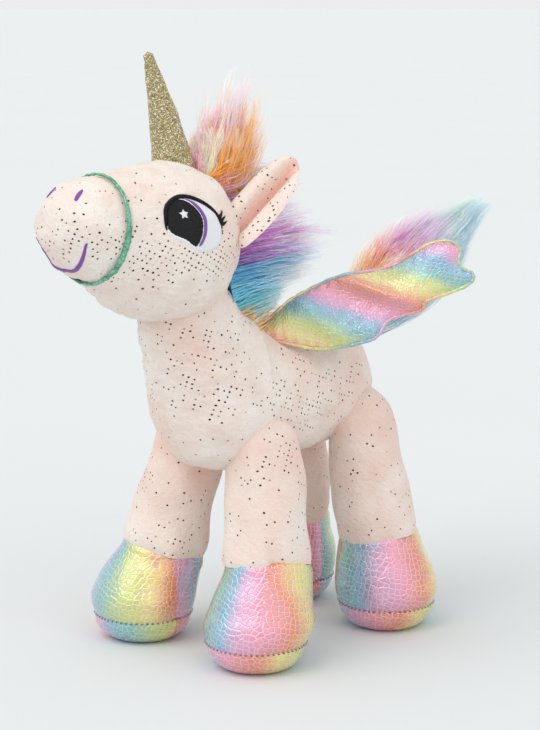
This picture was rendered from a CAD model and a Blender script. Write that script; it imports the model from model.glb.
"""Looks of the plush unicorn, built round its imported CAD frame."""
import math

import bmesh
import bpy
import numpy as np
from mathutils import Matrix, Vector
from mathutils.bvhtree import BVHTree
from mathutils.geometry import delaunay_2d_cdt


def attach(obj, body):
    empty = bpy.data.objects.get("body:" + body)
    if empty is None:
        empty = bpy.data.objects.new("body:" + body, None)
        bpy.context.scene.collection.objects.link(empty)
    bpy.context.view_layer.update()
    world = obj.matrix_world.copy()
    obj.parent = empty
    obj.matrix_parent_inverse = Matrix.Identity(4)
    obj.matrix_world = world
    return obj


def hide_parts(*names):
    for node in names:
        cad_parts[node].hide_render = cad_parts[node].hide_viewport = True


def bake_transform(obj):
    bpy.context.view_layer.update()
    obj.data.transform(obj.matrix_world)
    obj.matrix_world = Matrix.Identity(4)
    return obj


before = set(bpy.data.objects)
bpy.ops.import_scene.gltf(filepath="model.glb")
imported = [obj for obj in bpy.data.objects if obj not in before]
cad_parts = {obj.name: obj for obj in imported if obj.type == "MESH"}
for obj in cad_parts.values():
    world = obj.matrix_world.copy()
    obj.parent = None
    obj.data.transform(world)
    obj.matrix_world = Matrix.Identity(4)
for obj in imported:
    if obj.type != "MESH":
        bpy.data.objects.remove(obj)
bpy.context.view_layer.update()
random = np.random.default_rng(7)

# Sizes are in millimetres in the toy's stance: the origin is midway between the four feet, X to its left,
# -Y forward, and the soles rest at FLOOR. The model's frame is the stance moved by SHIFT.
SHIFT = np.array((0.0, -17.0, -3.0))
MM = 0.001
FLOOR = 3.0
FLOOR_REACH = 3e5
PIECE = "_piece"
FLIPS = {"left": np.array((1.0, 1, 1)), "right": np.array((-1.0, 1, 1))}

# Trunk, neck and head
RUMP_END = (0, 60, 131)
CHEST_END = (0, -70, 126)
BELLY_HALF = 16
BELLY_END = 52
TRUNK_STATIONS = [(4, 15.7), (12, 25.5), (24, 31.7), (36, 33.2), (60, 34.2), (80, 35.6), (96, 36),
                  (110, 32.4), (122, 22.8), (127, 14.5)]
NECK_PIVOT = (0, -57, 170)
NECK_BASE = (0, -34, 127)
NECK_TOP_RADIUS = 24.3
NECK_BASE_RADIUS = 33
HEAD_BACK = (0, -35, 200.8)
HEAD_FRONT = (0, -143.6, 221.5)
HEAD_LENGTH = 104.6
HEAD_STATIONS = [(6, 20), (15, 30), (26, 36), (37.5, 38), (50, 37), (62, 33), (72, 29), (84, 25.8), (92, 23),
                 (98, 18.6), (102, 13.4)]
BAND_STATION = 82
BAND_RADIUS = 26.7

# Horn: centre of each ring, its radius and how far it leans forward, in degrees
HORN_RINGS = [((0, -62.5, 234), 10.3, -6), ((0, -66, 250), 9.0, -12), ((0, -70.5, 268), 6.6, -16),
              ((0, -76, 285), 3.8, -18), ((0, -79.3, 295), 2.3, -19)]

# Legs: hip, centre of the seam above the hoof, centre at the hoof's widest, and lowest point
LEGS = {
    "front_left": ((25, -30, 106), (34, -36, 51), (37, -44, 25), (36.5, -46, 3)),
    "front_right": ((-25, -30, 106), (-34, -42, 48), (-39, -52, 25), (-38.5, -52, 3)),
    "hind_left": ((24, 40, 110), (31, 47, 50), (36, 49, 25), (35.5, 49, 3)),
    "hind_right": ((-24, 40, 110), (-31, 47, 50), (-36, 49, 25), (-35.5, 49, 3)),
}
HIP_RADIUS = 17.5
SEAM_RADIUS = 21
HOOF_RADIUS = 26.3
SOLE_RADIUS = 12
SOLE_SEAM = 13
LEG_AROUND = 56

# Wings and ears: flat outlines on their own planes
WING_ROOT = (28, -10, 157)
WING_ALONG = (0.673, 0.673, 0.306)
WING_ACROSS = (0.52, -0.137, -0.843)
WING_OUTLINE = [(-18, -8), (-3, -17), (11, -22), (29, -24), (54, -22), (75, -25), (85, -23), (89, -17),
                (86, -10), (91, -4), (87, 0), (66, 2), (62, 5), (46, 5), (36, 12), (15, 9), (0, 3)]
EAR_ROOT = (31, -50, 214)
EAR_ALONG = (0.084, 0.759, 0.645)
EAR_ACROSS = (0.924, 0.184, -0.337)
EAR_OUTLINE = [(-8, 8), (-5, 0), (6, -12), (20, -13), (33, -12.5), (44, -10), (48, -5), (45, 0), (36, 7),
               (22, 11.5), (6, 12)]
EAR_FOLD = -2.5

# Eye: its plane and the outlines embroidered on it
EYE_CENTRE = (35, -80, 219.5)
EYE_NORMAL = (0.94, -0.17, 0.30)
EYE_WHITE = [(-16.4, -4), (-17, 3), (-14.6, 9), (-9, 12.4), (-2.6, 12.2), (4, 9), (9.4, 4.6), (12.2, -1),
             (12, -7), (7.6, -11.6), (1.4, -13), (-3.6, -12.4), (-8.6, -9.4)]
EYE_IRIS = [(-16.2, -3), (-17.2, 3.2), (-14.8, 9.4), (-9.2, 12.4), (-3.4, 10.6), (0.4, 5.6), (1.6, 0),
            (-0.2, -6), (-4.4, -10.8), (-9.6, -7.4)]


# ---------------------------------------------------------------- mesh helpers

def place(points):
    """Points of the stance, in millimetres, as metres in the model's frame."""
    return (np.asarray(points, float) + SHIFT) * MM


def unit(vector):
    vector = np.asarray(vector, float)
    return vector / np.linalg.norm(vector, axis=-1, keepdims=True)


def read(items, key):
    """One vector of each vertex or face of a mesh."""
    flat = np.empty(len(items) * 3)
    items.foreach_get(key, flat)
    return flat.reshape(-1, 3)


def get_points(obj):
    return read(obj.data.vertices, "co") / MM - SHIFT


def set_points(obj, points):
    obj.data.vertices.foreach_set("co", place(points).ravel())
    obj.data.update()


def get_normals(obj):
    return read(obj.data.vertices, "normal")


def get_middles(obj):
    return read(obj.data.polygons, "center") / MM - SHIFT


def make_object(name, points, faces, smooth=True):
    mesh = bpy.data.meshes.new(name)
    mesh.from_pydata(place(points).tolist(), [], faces)
    mesh.update()
    mesh.polygons.foreach_set("use_smooth", [smooth] * len(mesh.polygons))
    obj = bpy.data.objects.new(name + PIECE, mesh)
    bpy.context.scene.collection.objects.link(obj)
    return obj


def node_of(obj):
    """Name of the CAD node that a piece is made for."""
    return obj.name.removesuffix(PIECE)


def apply_modifiers(obj):
    graph = bpy.context.evaluated_depsgraph_get()
    mesh = bpy.data.meshes.new_from_object(obj.evaluated_get(graph))
    spent = obj.data
    obj.modifiers.clear()
    obj.data = mesh
    bpy.data.meshes.remove(spent)
    mesh.polygons.foreach_set("use_smooth", [True] * len(mesh.polygons))


def modify(obj, kind, **settings):
    modifier = obj.modifiers.new(kind.lower(), kind)
    for key, value in settings.items():
        setattr(modifier, key, value)
    return modifier


def subdivide(obj, levels=1):
    modify(obj, "SUBSURF", levels=levels)
    apply_modifiers(obj)


def full_turn(count):
    """Angles in even steps round a circle."""
    return np.linspace(0, 2 * math.pi, count, endpoint=False)


def upright(axis):
    """Square to a line in the toy's middle plane, on its upper side."""
    up = np.cross((1.0, 0, 0), axis)
    return up if up[2] > 0 else -up


def cubic(x, xs, ys):
    """Smooth curve through the given points, at x."""
    xs, ys = np.asarray(xs, float), np.asarray(ys, float)
    slope = np.gradient(ys, xs)
    i = np.clip(np.searchsorted(xs, x) - 1, 0, len(xs) - 2)
    gap = xs[i + 1] - xs[i]
    t = (x - xs[i]) / gap
    return ((2 * t**3 - 3 * t**2 + 1) * ys[i] + (t**3 - 2 * t**2 + t) * gap * slope[i]
            + (3 * t**2 - 2 * t**3) * ys[i + 1] + (t**3 - t**2) * gap * slope[i + 1])


def smooth_path(points, per_span=6, closed=False):
    """Catmull-Rom curve through the points."""
    points = np.asarray(points, float)
    count = len(points)
    spans = count if closed else count - 1
    made = []
    for i in range(spans):
        if closed:
            a, b, c, d = (points[(i + k) % count] for k in (-1, 0, 1, 2))
        else:
            a, b, c, d = (points[min(max(i + k, 0), count - 1)] for k in (-1, 0, 1, 2))
        for t in np.arange(per_span) / per_span:
            made.append(0.5 * (2 * b + (c - a) * t + (2 * a - 5 * b + 4 * c - d) * t**2
                               + (3 * b - a - 3 * c + d) * t**3))
    if not closed:
        made.append(points[-1])
    return np.array(made)


def ring_faces(rings, around, cap_start=False, cap_end=False):
    """Faces of a tube of rings; a cap is one more point after all the rings."""
    faces = []
    for r in range(rings - 1):
        for k in range(around):
            n = (k + 1) % around
            faces.append((r * around + k, r * around + n, (r + 1) * around + n, (r + 1) * around + k))
    extra = rings * around
    if cap_start:
        faces += [(extra, (k + 1) % around, k) for k in range(around)]
        extra += 1
    if cap_end:
        last = (rings - 1) * around
        faces += [(extra, last + k, last + (k + 1) % around) for k in range(around)]
    return faces


def turned(start, end, stations, around=48):
    """Closed round body about the line from start to end, with a radius at each station along it."""
    start, end = np.array(start, float), np.array(end, float)
    length = np.linalg.norm(end - start)
    axis = (end - start) / length
    side = unit(np.array((1.0, 0, 0)) - axis * axis[0])
    up = np.cross(axis, side)
    at, radius = np.array(stations, float).T
    quarter = np.linspace(0.25, 1.35, 4)
    middle = np.linspace(at[0], at[-1], max(int((at[-1] - at[0]) / 3), 4))
    where = np.concatenate((at[0] * (1 - np.cos(quarter)), middle,
                            length - (length - at[-1]) * (1 - np.cos(quarter[::-1]))))
    wide = np.concatenate((radius[0] * np.sin(quarter), cubic(middle, at, radius),
                           radius[-1] * np.sin(quarter[::-1])))
    angle = full_turn(around)
    round_about = np.cos(angle)[:, None] * side + np.sin(angle)[:, None] * up
    rings = start + where[:, None, None] * axis + wide[:, None, None] * round_about
    points = np.concatenate((rings.reshape(-1, 3), start[None], end[None]))
    return points, ring_faces(len(where), around, True, True)


def fuse(name, bodies, voxel, softening):
    """One closed skin round several bodies, with soft creases where they meet."""
    points, faces, base = [], [], 0
    for body_points, body_faces in bodies:
        points.append(body_points)
        faces += [tuple(base + i for i in face) for face in body_faces]
        base += len(body_points)
    obj = make_object(name, np.concatenate(points), faces)
    modify(obj, "REMESH", mode="VOXEL", voxel_size=voxel * MM)
    modify(obj, "SMOOTH", factor=0.5, iterations=softening)
    apply_modifiers(obj)
    return obj


def bumps(points, size, seed):
    """Smooth random field of about -1 to 1, with features of the given size."""
    draw = np.random.default_rng(seed)
    total = np.zeros(len(points))
    for _ in range(14):
        direction = unit(draw.normal(size=3))
        turns = 2 * math.pi / (size * draw.uniform(0.7, 1.5))
        total += np.sin(points @ direction * turns + draw.uniform(0, 7))
    return total / 3.5


def push(obj, amount, outward=None):
    """Moves a skin along its normals by amount(points); outward(points) says which way they should face."""
    q, n = get_points(obj), get_normals(obj)
    if outward:
        n *= np.sign((outward(q) * n).sum(1).mean())
    set_points(obj, q + n * amount(q)[:, None])


def cut(obj, planes):
    """Runs straight rows of edges through the mesh where panels are to part."""
    bm = bmesh.new()
    bm.from_mesh(obj.data)
    for point, normal in planes:
        bmesh.ops.bisect_plane(bm, geom=bm.verts[:] + bm.edges[:] + bm.faces[:], dist=1e-7,
                               plane_co=place(point), plane_no=Vector(normal))
    bm.to_mesh(obj.data)
    bm.free()
    obj.data.update()


def corners(mesh):
    """The vertex of each face corner, and the number of corners of each face."""
    vertex, count = np.empty(len(mesh.loops), int), np.empty(len(mesh.polygons), int)
    mesh.loops.foreach_get("vertex_index", vertex)
    mesh.polygons.foreach_get("loop_total", count)
    return vertex, count


def part_out(obj, names, choice):
    """Splits a skin into panels; choice holds the number of each face's panel."""
    points = get_points(obj)
    polygons = [tuple(p.vertices) for p in obj.data.polygons]
    panels = []
    for number, name in enumerate(names):
        chosen = [polygons[i] for i in np.flatnonzero(choice == number)]
        used = sorted({v for face in chosen for v in face})
        new = {v: i for i, v in enumerate(used)}
        panels.append(make_object(name, points[used], [tuple(new[v] for v in face) for face in chosen]))
    bpy.data.objects.remove(obj)
    return panels


def seam_dip(distance, depth=0.9, reach=2.2):
    """How far the skin sinks at this distance from a seam."""
    return depth * np.exp(-(distance / reach) ** 2)


def lay_cloth(obj, turn=0.35):
    """Gives each face corner its place on the flat cloth, in millimetres, seen along the face's main axis."""
    mesh = obj.data
    corner, count = corners(mesh)
    axis = np.repeat(np.abs(read(mesh.polygons, "normal")).argmax(1), count)
    q = get_points(obj)[corner]
    u = np.where(axis == 0, q[:, 1], q[:, 0]) + 31 * axis
    v = np.where(axis == 2, q[:, 1], q[:, 2])
    cos, sin = math.cos(turn), math.sin(turn)
    flat = np.stack((u * cos - v * sin, u * sin + v * cos, 0 * u), 1)
    attribute = mesh.attributes.new("cloth", "FLOAT_VECTOR", "CORNER")
    attribute.data.foreach_set("vector", flat.ravel().astype(np.float32))


def write_mask(obj, name, values):
    attribute = obj.data.attributes.new(name, "FLOAT", "POINT")
    attribute.data.foreach_set("value", np.broadcast_to(values, len(obj.data.vertices)).astype(np.float32))


def finish_piece(obj, material, body=None, nodes=()):
    """Says what a piece is made of, which body it rides on and which CAD nodes it stands for."""
    if material:
        obj.data.materials.clear()
        obj.data.materials.append(material)
    if body:
        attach(obj, body)
    if nodes:
        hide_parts(*nodes)
    return obj


# ---------------------------------------------------------------- materials

class Recipe:
    """A material's node tree, built up call by call."""

    def __init__(self, name, constants):
        self.material = bpy.data.materials.new(name)
        self.material.use_nodes = True
        self.tree = self.material.node_tree
        self.shader = self.tree.nodes["Principled BSDF"]
        for socket, value in constants.items():
            self.set(socket, value)

    def node(self, kind, inputs=None, **settings):
        made = self.tree.nodes.new("ShaderNode" + kind)
        for key, value in settings.items():
            setattr(made, key, value)
        for key, value in (inputs or {}).items():
            self.feed(made.inputs[key], value)
        return made

    def feed(self, socket, value):
        """Links another node's output to a socket, or sets it to a constant or to the colour of a code."""
        if isinstance(value, bpy.types.NodeSocket):
            self.tree.links.new(value, socket)
        else:
            socket.default_value = rgba(value) if isinstance(value, str) else value

    def set(self, socket, value):
        self.feed(self.shader.inputs[socket], value)

    def math(self, operation, a, b=0.0):
        return self.node("Math", {0: a, 1: b}, operation=operation).outputs[0]

    def times(self, a, b):
        return self.math("MULTIPLY", a, b)

    def plus(self, a, b):
        return self.math("ADD", a, b)

    def mix(self, factor, a, b):
        return self.node("Mix", {0: factor, 6: a, 7: b}, data_type="RGBA").outputs[2]

    def span(self, value, low, high, to_low=0.0, to_high=1.0):
        made = self.node("MapRange", {0: value, 1: low, 2: high, 3: to_low, 4: to_high})
        return made.outputs[0]

    def ramp(self, value, stops, interpolation="LINEAR"):
        made = self.node("ValToRGB", {0: value})
        made.color_ramp.interpolation = interpolation
        elements = made.color_ramp.elements
        while len(elements) < len(stops):
            elements.new(0.5)
        for element, (position, code) in zip(elements, stops):
            element.position = position
            element.color = rgba(code)
        return made.outputs[0]

    def cloth(self):
        return self.node("Attribute", attribute_name="cloth").outputs["Vector"]

    def mask(self, name):
        return self.node("Attribute", attribute_name=name).outputs["Fac"]

    def noise(self, vector, scale, detail=2.0):
        return self.node("TexNoise", {"Vector": vector, "Scale": scale, "Detail": detail}).outputs["Fac"]

    def cells(self, vector, scale, feature="F1", randomness=1.0, flat=True):
        made = self.node("TexVoronoi", feature=feature, voronoi_dimensions="2D" if flat else "3D")
        self.feed(made.inputs["Vector"], vector)
        made.inputs["Scale"].default_value = scale
        made.inputs["Randomness"].default_value = randomness
        return made

    def bump(self, height, strength, distance):
        made = self.node("Bump", {"Height": height, "Strength": strength, "Distance": distance})
        self.set("Normal", made.outputs[0])


def rgba(code):
    """A linear, opaque colour from its usual hexadecimal code."""
    values = [int(code[i:i + 2], 16) / 255 for i in (0, 2, 4)]
    return (*(v / 12.92 if v <= 0.04045 else ((v + 0.055) / 1.055) ** 2.4 for v in values), 1)


def velboa(name, light, shade):
    """Short-pile plush with foil dots in slanting rows."""
    m = Recipe(name, {"Sheen Weight": 0.3, "Sheen Roughness": 0.45, "Sheen Tint": (1, 0.95, 0.92, 1),
                      "Specular IOR Level": 0.2})
    cloth = m.cloth()
    pile = m.noise(cloth, 1.6, 3)
    nap = m.noise(cloth, 0.09, 2)
    base = m.mix(m.span(nap, 0.35, 0.65), light, shade)
    base = m.mix(m.span(pile, 0.3, 0.7, 0.0, 0.3), base, "E2CDC1")
    base = m.mix(m.times(m.mask("blush"), 0.75), base, "F0AE9A")
    dots = m.cells(cloth, 0.4, randomness=0.22)
    chance = m.node("SeparateColor", {0: dots.outputs["Color"]})
    size = m.span(chance.outputs[2], 0, 1, 0.14, 0.2)
    near = m.math("LESS_THAN", dots.outputs["Distance"], size)
    printed = m.math("LESS_THAN", chance.outputs[0], m.mask("dots"))
    dot = m.times(near, printed)
    foil = m.ramp(chance.outputs[1], [(0, "1E1411"), (0.5, "5A3F30"), (0.72, "B99A78"),
                                      (0.86, "E9D9C6")], "CONSTANT")
    m.set("Base Color", m.mix(dot, base, foil))
    m.set("Metallic", m.times(dot, 0.6))
    m.set("Roughness", m.span(dot, 0, 1, 0.9, 0.3))
    crush = m.times(m.noise(cloth, 0.5, 4), 1.6)
    height = m.plus(m.times(pile, 0.6), crush)
    m.bump(m.plus(height, m.times(dot, 0.3)), 0.6, 0.001)
    return m.material


RAINBOW = [(0.0, "EFA0BC"), (0.2, "EE9266"), (0.34, "EFDE85"), (0.48, "CBDD7A"),
           (0.64, "7CC3BA"), (0.78, "83BBD8"), (0.9, "DDA9CC"), (1.0, "EFA0BC")]


def rainbow_foil(name, cell, outline):
    """Foil cloth with a scale print and soft rainbow bands."""
    m = Recipe(name, {"Coat Weight": 0.7, "Coat Roughness": 0.18, "Sheen Weight": 0.1})
    cloth = m.cloth()
    wander = m.times(m.noise(cloth, 0.045, 2), 0.22)
    bands = m.ramp(m.math("FRACT", m.plus(m.mask("band"), wander)), RAINBOW)
    scales = m.cells(cloth, cell, "DISTANCE_TO_EDGE", 0.65)
    inside = m.cells(cloth, cell, "F1", 0.65)
    tone = m.node("SeparateColor", {0: inside.outputs["Color"]})
    edge = m.span(scales.outputs["Distance"], 0.03, 0.1, 1, 0)
    base = m.mix(m.span(tone.outputs[0], 0, 1, 0.0, 0.22), bands, "C58FB8")
    base = m.mix(m.times(edge, 0.55), base, outline)
    m.set("Base Color", base)
    m.set("Metallic", m.span(tone.outputs[1], 0, 1, 0.2, 0.55))
    m.set("Roughness", m.span(tone.outputs[2], 0, 1, 0.16, 0.36))
    weave = m.times(m.noise(cloth, 1.8, 2), 0.25)
    dome = m.times(m.span(scales.outputs["Distance"], 0.0, 0.2, 0, 1), 0.7)
    m.bump(m.plus(dome, weave), 0.45, 0.0007)
    return m.material


def glitter(name):
    """Gold glitter cloth: flakes of many tones and tilts."""
    m = Recipe(name, {"Coat Weight": 0.2, "Coat Roughness": 0.2})
    where = m.node("TexCoord").outputs["Object"]
    flakes = m.cells(where, 2300, flat=False)
    tone = m.node("SeparateColor", {0: flakes.outputs["Color"]})
    gold = m.ramp(tone.outputs[0], [(0.0, "8E7F52"), (0.3, "B5A36E"), (0.65, "D3C597"),
                                    (0.85, "FFFBEA")], "CONSTANT")
    m.set("Base Color", gold)
    m.set("Metallic", m.span(tone.outputs[1], 0, 1, 0.5, 1.0))
    m.set("Roughness", m.span(tone.outputs[2], 0, 1, 0.15, 0.6))
    m.bump(tone.outputs[1], 0.9, 0.0006)
    return m.material


def piping(name):
    """Green metallic cloth with crackled scales."""
    m = Recipe(name, {"Coat Weight": 0.5, "Coat Roughness": 0.15})
    where = m.node("TexCoord").outputs["Object"]
    scales = m.cells(where, 520, "DISTANCE_TO_EDGE", 0.9, False)
    crack = m.span(scales.outputs["Distance"], 0.02, 0.12, 1, 0)
    tone = m.noise(where, 160, 2)
    green = m.ramp(tone, [(0.3, "2F8F6C"), (0.62, "86CFAE")])
    m.set("Base Color", m.mix(m.times(crack, 0.7), green, "1F6B4E"))
    m.set("Metallic", m.span(tone, 0.3, 0.7, 0.3, 0.6))
    m.set("Roughness", m.span(crack, 0, 1, 0.22, 0.6))
    m.bump(scales.outputs["Distance"], 0.6, 0.0006)
    return m.material


def satin_thread(name, tone, highlight, rough=0.45, sheen=0.25):
    """Satin-stitch embroidery: close parallel threads with a soft shine."""
    m = Recipe(name, {"Sheen Weight": sheen, "Sheen Roughness": 0.3, "Specular IOR Level": 0.3})
    cloth = m.cloth()
    wave = m.node("TexWave", {"Vector": cloth, "Scale": 0.62, "Distortion": 1.6, "Detail": 2.0})
    threads = wave.outputs["Fac"]
    m.set("Base Color", m.mix(m.span(threads, 0, 1, 0.0, 0.5), tone, highlight))
    m.set("Roughness", m.span(m.noise(cloth, 0.9, 2), 0.3, 0.7, rough - 0.1, rough + 0.15))
    m.bump(threads, 0.5, 0.0005)
    return m.material


def plain_weave(name, light, dark):
    """Woven backing cloth and its loose fibres."""
    m = Recipe(name, {"Sheen Weight": 0.2})
    cloth = m.cloth()
    weave = m.node("TexWave", {"Vector": cloth, "Scale": 0.9, "Distortion": 1.0}).outputs["Fac"]
    patch = m.noise(cloth, 0.2, 2)
    mixed = m.times(weave, patch)
    m.set("Base Color", m.mix(mixed, light, dark))
    m.set("Roughness", m.span(patch, 0, 1, 0.75, 0.95))
    m.bump(weave, 0.4, 0.0004)
    return m.material


# Hues of the long-pile fur, each from its root tone to its tip
FUR_HUES = {
    "rose": ("F990A8", "FBB3C6", "FDDFE8"), "coral": ("FF9470", "FFB094", "FFDACC"),
    "orange": ("FFAE4C", "FFC070", "FFE0B8"), "cream": ("FBEFC6", "FCF5DC", "FDFAF0"),
    "lime": ("D2E896", "DFEFB2", "F1F8DC"), "green": ("8AD8AE", "AEE4C6", "D8F2E2"),
    "teal": ("7AD4DE", "A2E2E8", "D2F1F4"), "cyan": ("7ED2EC", "A6E0F2", "D4F0F8"),
    "blue": ("68B4E2", "90CAEA", "C8E3F5"), "violet": ("B27FD6", "C6A2E2", "E2D2F2"),
    "orchid": ("D274CC", "DE98DA", "F0D0EC"), "pink": ("F3ABD4", "F7C6E2", "FBE4F2"),
    "lilac": ("DCC4EE", "E8D8F5", "F4ECFA"), "mist": ("E8EBF1", "F0F2F6", "F8F9FB"),
}
HUE_NAMES = list(FUR_HUES)
TONES = 3


def fur_down(name, stops, lie):
    """Short dense pile, streaked along its lie, in bands of colour."""
    m = Recipe(name, {"Roughness": 0.75, "Sheen Weight": 0.6, "Sheen Roughness": 0.5,
                      "Specular IOR Level": 0.2})
    cloth = m.cloth()
    wander = m.times(m.math("SUBTRACT", m.noise(cloth, 0.12, 3), 0.5), 0.16)
    base = m.ramp(m.plus(m.mask("band"), wander), stops)
    drawn = m.node("VectorMath", {0: cloth, 1: lie}, operation="MULTIPLY")
    streak = m.noise(drawn.outputs[0], 1.0, 4)
    base = m.mix(m.span(streak, 0.35, 0.7, 0.0, 0.45), base, "FBF6F4")
    m.set("Base Color", base)
    m.bump(streak, 0.6, 0.0012)
    return m.material


def fur_materials():
    """Three plain fibre materials a hue. The strands themselves carry the pattern."""
    made = []
    for name, tones in FUR_HUES.items():
        for part, tone in zip(("root", "middle", "tip"), tones):
            fibre = Recipe(f"fur_{name}_{part}", {"Base Color": tone, "Roughness": 0.55,
                                                  "Sheen Weight": 0.5, "Sheen Roughness": 0.4,
                                                  "Specular IOR Level": 0.3})
            made.append(fibre.material)
    return made


PEACH = velboa("peach_velboa", "F6F0E7", "F2E4DB")
FOIL = rainbow_foil("rainbow_foil_wide", 0.4, "FBE9E4")
FINE_FOIL = rainbow_foil("rainbow_foil_fine", 0.56, "E6DAE2")
GOLD = glitter("gold_glitter")
GREEN = piping("metallic_piping")
WHITE_THREAD = satin_thread("white_thread", "EEF0F3", "FFFFFF", 0.4)
BLACK_THREAD = satin_thread("black_thread", "050506", "15151A", 0.55, 0.02)
SEAM_THREAD = satin_thread("seam_thread", "6E5A66", "A08C96", 0.5)
PURPLE_THREAD = satin_thread("purple_thread", "7A459E", "A673C4", 0.4)
BACKING = plain_weave("fur_backing", "F3C9A6", "D88E86")
FUR = fur_materials()


# ---------------------------------------------------------------- torso

def torso_shape():
    pivot, base = np.array(NECK_PIVOT, float), np.array(NECK_BASE, float)
    down = unit(base - pivot)
    span = np.linalg.norm(base - pivot)
    top, bottom = NECK_TOP_RADIUS, NECK_BASE_RADIUS
    length = top + span + bottom
    stations = [(4, 13.4), (12, 20.9), (top, top), (top + span, bottom),
                (length - 11, 24.7), (length - 3, 14)]
    neck = turned(pivot - down * top, base + down * bottom, stations)
    return [turned(RUMP_END, CHEST_END, TRUNK_STATIONS), neck]


def make_torso():
    skin = fuse("torso_skin", torso_shape(), 2.6, 14)
    subdivide(skin)
    q, n = get_points(skin), get_normals(skin)
    centre_seam = seam_dip(q[:, 0], 0.8, 1.6) * (np.abs(n[:, 0]) < 0.6)
    belly = (q[:, 2] < 104) & (np.abs(q[:, 1]) < 60)
    belly_seam = seam_dip(np.abs(q[:, 0]) - BELLY_HALF, 0.8, 1.8) * belly
    throat = np.exp(-((q[:, 2] - 150) / 26) ** 2) * (q[:, 1] < -30)
    flank = np.exp(-((q[:, 1] - 20) / 18) ** 2 - ((q[:, 2] - 124) / 24) ** 2)
    folds = bumps(q * (1, 1, 0.35), 17, 3) * 0.9 * throat + bumps(q, 30, 5) * 0.7 + bumps(q, 11, 9) * 0.2
    folds += bumps(q * (1, 1, 0.25), 10, 6) * 0.8 * flank + bumps(q * (1, 1, 3), 13, 8) * 0.4 * throat
    set_points(skin, q + n * (folds - centre_seam - belly_seam)[:, None])
    cut(skin, [((x, 0, 0), (1, 0, 0)) for x in (0, BELLY_HALF, -BELLY_HALF)]
        + [((0, y, 0), (0, 1, 0)) for y in (-BELLY_END, BELLY_END)])
    c, facing = get_middles(skin), read(skin.data.polygons, "normal")
    within = (np.abs(c[:, 0]) < BELLY_HALF) & (np.abs(c[:, 1]) < BELLY_END)
    under = within & (facing[:, 2] < 0) & (c[:, 2] < 125)
    choice = np.where(under, 2, np.where(c[:, 0] > 0, 0, 1))
    names = ["torso_left_panel", "torso_right_panel", "torso_belly_panel"]
    for obj in part_out(skin, names, choice):
        q = get_points(obj)
        side_patch = np.exp(-((q[:, 1] + 8) / 40) ** 4 - ((q[:, 2] - 128) / 17) ** 4) * (np.abs(q[:, 0]) > 8)
        neck_patch = np.exp(-((q[:, 2] - 150) / 24) ** 4 - ((q[:, 1] + 66) / 20) ** 2) * (np.abs(q[:, 0]) > 5)
        write_mask(obj, "dots", 0.1 + 0.35 * side_patch + 0.4 * neck_patch)
        write_mask(obj, "blush", np.clip(0.15 + bumps(q, 40, 11) * 0.15, 0, 1))
        lay_cloth(obj)
        nodes = [node_of(obj)] + ["torso_stuffing"] * (node_of(obj) == "torso_left_panel")
        finish_piece(obj, PEACH, nodes=nodes)
        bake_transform(obj)


# ---------------------------------------------------------------- head

def head_axis():
    return unit(np.array(HEAD_FRONT, float) - np.array(HEAD_BACK, float))


def on_head_line(distance):
    return np.array(HEAD_BACK, float) + head_axis() * distance


def make_head():
    skin = fuse("head_skin", [turned(HEAD_BACK, on_head_line(HEAD_LENGTH), HEAD_STATIONS, 64)], 2.2, 6)
    subdivide(skin)
    q, n = get_points(skin), get_normals(skin)
    along = (q - np.array(HEAD_BACK)) @ head_axis()
    centre_seam = seam_dip(q[:, 0], 0.5, 1.4) * (np.abs(n[:, 0]) < 0.6) * (q[:, 2] < 200)
    band_seam = seam_dip(along - BAND_STATION, 1.5, 2.6)
    cheek = 1.6 * np.exp(-((along - 42) / 20) ** 2 - ((q[:, 2] - 192) / 14) ** 2)
    folds = bumps(q, 26, 21) * 0.45 + bumps(q, 10, 23) * 0.16
    jaw = np.exp(-((along - 45) / 22) ** 2 - ((q[:, 2] - 184) / 10) ** 2)
    creases = (0.08 + 0.55 * jaw) * bumps(q * (1, 0.5, 1), 4.2, 24)
    moved = q + n * (folds + creases + cheek - centre_seam - band_seam)[:, None]
    below = -(q - np.array(HEAD_BACK)) @ upright(head_axis())
    chin = np.clip((along - 60) / 38, 0, 1) ** 1.3 * np.clip((below + 4) / 26, 0, 1)
    moved += chin[:, None] * (0, 0.8, 4.6)
    moved += np.clip((along - 88) / 14, 0, 1)[:, None] * head_axis() * 2.0
    set_points(skin, moved)
    cut(skin, [((0, 0, 0), (1, 0, 0)), (on_head_line(BAND_STATION), head_axis())])
    c = get_middles(skin)
    station = (c - np.array(HEAD_BACK)) @ head_axis()
    choice = np.where(station > BAND_STATION, 2, np.where(c[:, 0] > 0, 0, 1))
    surface = BVHTree.FromPolygons(get_points(skin).tolist(), [tuple(p.vertices) for p in skin.data.polygons])
    names = ["head_left_panel", "head_right_panel", "muzzle_cover"]
    for obj in part_out(skin, names, choice):
        q = get_points(obj)
        along = (q - np.array(HEAD_BACK)) @ head_axis()
        cheek = np.exp(-((along - 50) / 30) ** 4 - ((q[:, 2] - 205) / 11) ** 4)
        muzzle = np.exp(-((along - 92) / 14) ** 4 - ((q[:, 2] - 215) / 8) ** 2)
        write_mask(obj, "dots", 0.08 + 0.9 * cheek + 0.75 * muzzle)
        write_mask(obj, "blush", np.clip(0.1 + bumps(q, 40, 13) * 0.12, 0, 1))
        lay_cloth(obj, 0.5)
        nodes = [node_of(obj)] + ["head_stuffing"] * (node_of(obj) == "head_left_panel")
        finish_piece(obj, PEACH, "head", nodes)
    return surface


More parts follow.
